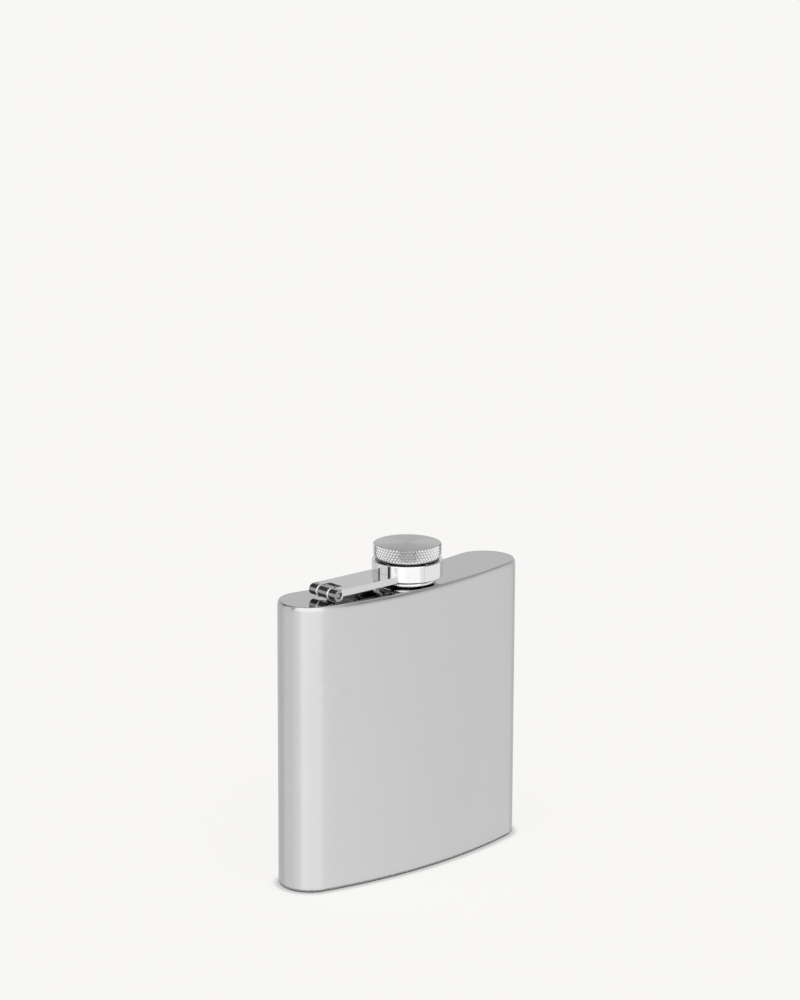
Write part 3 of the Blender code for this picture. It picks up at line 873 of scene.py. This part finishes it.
# Each light: azimuth from the front towards +X and its half-width, elevation and its half-width,
# softness of its edge, all in degrees, and its brightness. A later one covers an earlier one.
DARK_ROOM = 0.10
LIGHTS = [
    (0, 181, -45, 47, 3, 1.17),
    (80, 35, -14, 35, 20, 0.97),
    (45, 44, -14, 5, 2, 0.95),
    (115, 35, 40, 18, 5, 0.4),
    (139, 70, 5, 17, 5, 0.72),
    (-30, 120, 90, 36, 8, 1.5),
    (45, 45, 44, 12, 6, 0.6),
    (-118, 14, 44, 12, 5, 0.6),
    (-125, 17, 15, 13, 3, 1.0),
    (-41, 56, 27, 28, 4, 1.55),
    (-48.5, 48.5, -14, 11, 1.2, 1.17),
    (-90, 16, -14, 12, 6, 0.88),
    (-59, 11, -14, 16, 5, 1.26),
    (-128, 22, -14, 14, 4, 0.84),
    (-104.5, 2.5, 16, 12, 1, 0.03),
    (15.4, 1.0, -14, 12, 0.7, 0.75),
    (150, 60, -20, 20, 4, 0.70),
]
# The contact shadow: how far each line lies inside the plan, in millimetres, and its darkness.
CONTACT = np.array([(3.0, 1.0), (0.4, 1.0), (-0.6, 0.66), (-1.9, 0.07), (-3.2, 0.01), (-4.5, 0.0)])
CONTACT_SEEN = 0.42
FLOOR_GLOW = 0.915
FLOOR_MATT = 0.10
FLOOR_HALF = 40.0  # metres
CAMERA_TURN = math.radians(41.02)
CAMERA_TILT = math.radians(14.4)
CAMERA_DISTANCE = 1119.0
CAMERA_AIM = (-19.97, 67.1)  # to the right of the bottle's middle and above it, as the camera sees it
CAMERA_LENS = 128.12
CAMERA_SHIFT = (0.057, 0.008)


def studio():
    """The surroundings as the steel reflects them: soft boxes and cards, by direction, in a dark room.

    The camera itself sees the plain page.
    """
    world = bpy.data.worlds.new("studio")
    bpy.context.scene.world = world
    world.use_nodes = True
    nodes = Nodes(world.node_tree)
    direction = nodes.add("TexCoord").outputs["Generated"]
    x, y, z = nodes.add("SeparateXYZ", {0: direction}).outputs
    azimuth = nodes.math("ARCTAN2", x, nodes.math("MULTIPLY", y, -1.0))
    elevation = nodes.math("ARCSINE", z)
    level = DARK_ROOM
    for *angles, brightness in LIGHTS:
        side, side_half, up, up_half, soft = np.radians(angles).tolist()
        off = nodes.math("SUBTRACT", azimuth, side)
        off = nodes.math("ARCCOSINE", nodes.math("COSINE", off))
        across = nodes.ranged(off, side_half - soft, side_half + soft, 1.0, 0.0, "SMOOTHSTEP")
        rise = nodes.math("ABSOLUTE", nodes.math("SUBTRACT", elevation, up))
        upward = nodes.ranged(rise, up_half - soft, up_half + soft, 1.0, 0.0, "SMOOTHSTEP")
        change = nodes.math("SUBTRACT", brightness, level)
        level = nodes.math("MULTIPLY_ADD", nodes.product(across, upward), change, level)
    seen = nodes.add("LightPath").outputs["Is Camera Ray"]
    page = nodes.add("Background", {"Color": (*PAGE.tolist(), 1)})
    glow = nodes.add("Background", {"Color": (1, 1, 1, 1), "Strength": level})
    mixed = nodes.add("MixShader", {0: seen, 1: glow.outputs[0], 2: page.outputs[0]})
    nodes.add("OutputWorld", {"Surface": mixed.outputs[0]})


def floor():
    """The pale table top, nearly shadowless."""
    mesh = bpy.data.meshes.new("floor")
    half = FLOOR_HALF
    corners = [(-half, -half, 0), (half, -half, 0), (half, half, 0), (-half, half, 0)]
    mesh.from_pydata(corners, [], [(0, 1, 2, 3)])
    table = bpy.data.objects.new("floor", mesh)
    bpy.context.scene.collection.objects.link(table)
    material = bpy.data.materials.new("floor")
    material.use_nodes = True
    nodes = Nodes(material.node_tree)
    glow = nodes.add("Emission", {"Color": (*(FLOOR_GLOW * PAGE).tolist(), 1)})
    matt = nodes.add("BsdfDiffuse", {"Color": (*(FLOOR_MATT * PAGE).tolist(), 1)})
    both = nodes.add("AddShader", {0: glow.outputs[0], 1: matt.outputs[0]})
    nodes.add("OutputMaterial", {"Surface": both.outputs[0]})
    mesh.materials.append(material)
    table.visible_glossy = False
    table.visible_diffuse = False


def contact():
    """The shadow under the flask's edge, seen a little by the camera and fully by the foot."""
    flat = carried_round_plan(np.stack([CONTACT[:, 0], np.full(len(CONTACT), 0.02)], 1))
    rows, columns = flat.shape[:2]
    patch = add_piece("contact", flat, grid_faces(rows, columns, ring=False).tolist(), closed=False)
    shade = patch.data.attributes.new("shade", "FLOAT", "POINT")
    shade.data.foreach_set("value", np.repeat(CONTACT[:, 1], columns).astype(np.float32))
    material = bpy.data.materials.new("contact")
    material.use_nodes = True
    nodes = Nodes(material.node_tree)
    amount = nodes.add("Attribute", attribute_name="shade").outputs["Fac"]
    mirrored = nodes.product(amount, amount)
    direct = nodes.product(amount, CONTACT_SEEN)
    seen = nodes.add("LightPath").outputs["Is Camera Ray"]
    amount = nodes.add("Mix", {0: seen, 2: mirrored, 3: direct}).outputs[0]
    black = nodes.add("Emission", {"Color": (0, 0, 0, 1)})
    clear = nodes.add("BsdfTransparent")
    mixed = nodes.add("MixShader", {0: amount, 1: clear.outputs[0], 2: black.outputs[0]})
    nodes.add("OutputMaterial", {"Surface": mixed.outputs[0]})
    patch.data.materials.append(material)
    patch.visible_diffuse = False
    patch.visible_shadow = False


def camera():
    """A long lens, from the front left and a little above."""
    turn, tilt = CAMERA_TURN, CAMERA_TILT
    across = np.array([math.cos(turn), -math.sin(turn), 0])
    upward = np.array([math.sin(turn) * math.sin(tilt), math.cos(turn) * math.sin(tilt), math.cos(tilt)])
    ahead = np.cross(upward, across)
    centre = np.array([0, DEPTH_SHIFT, TOP / 2])
    aim = centre + CAMERA_AIM[0] * across + CAMERA_AIM[1] * upward
    place = aim - CAMERA_DISTANCE * ahead
    lens = bpy.data.cameras.new("camera")
    lens.lens = CAMERA_LENS
    lens.shift_x, lens.shift_y = CAMERA_SHIFT
    lens.clip_start = 0.01
    lens.clip_end = 200.0
    view = bpy.data.objects.new("camera", lens)
    bpy.context.scene.collection.objects.link(view)
    axes = Matrix([[*row] for row in np.stack([across, upward, -ahead], 1)])
    view.matrix_world = Matrix.Translation(Vector(place * MM)) @ axes.to_4x4()
    bpy.context.scene.camera = view


studio()
floor()
contact()
camera()
scene = bpy.context.scene
scene.view_settings.view_transform = "Standard"
scene.view_settings.look = "None"

bpy.context.view_layer.update()
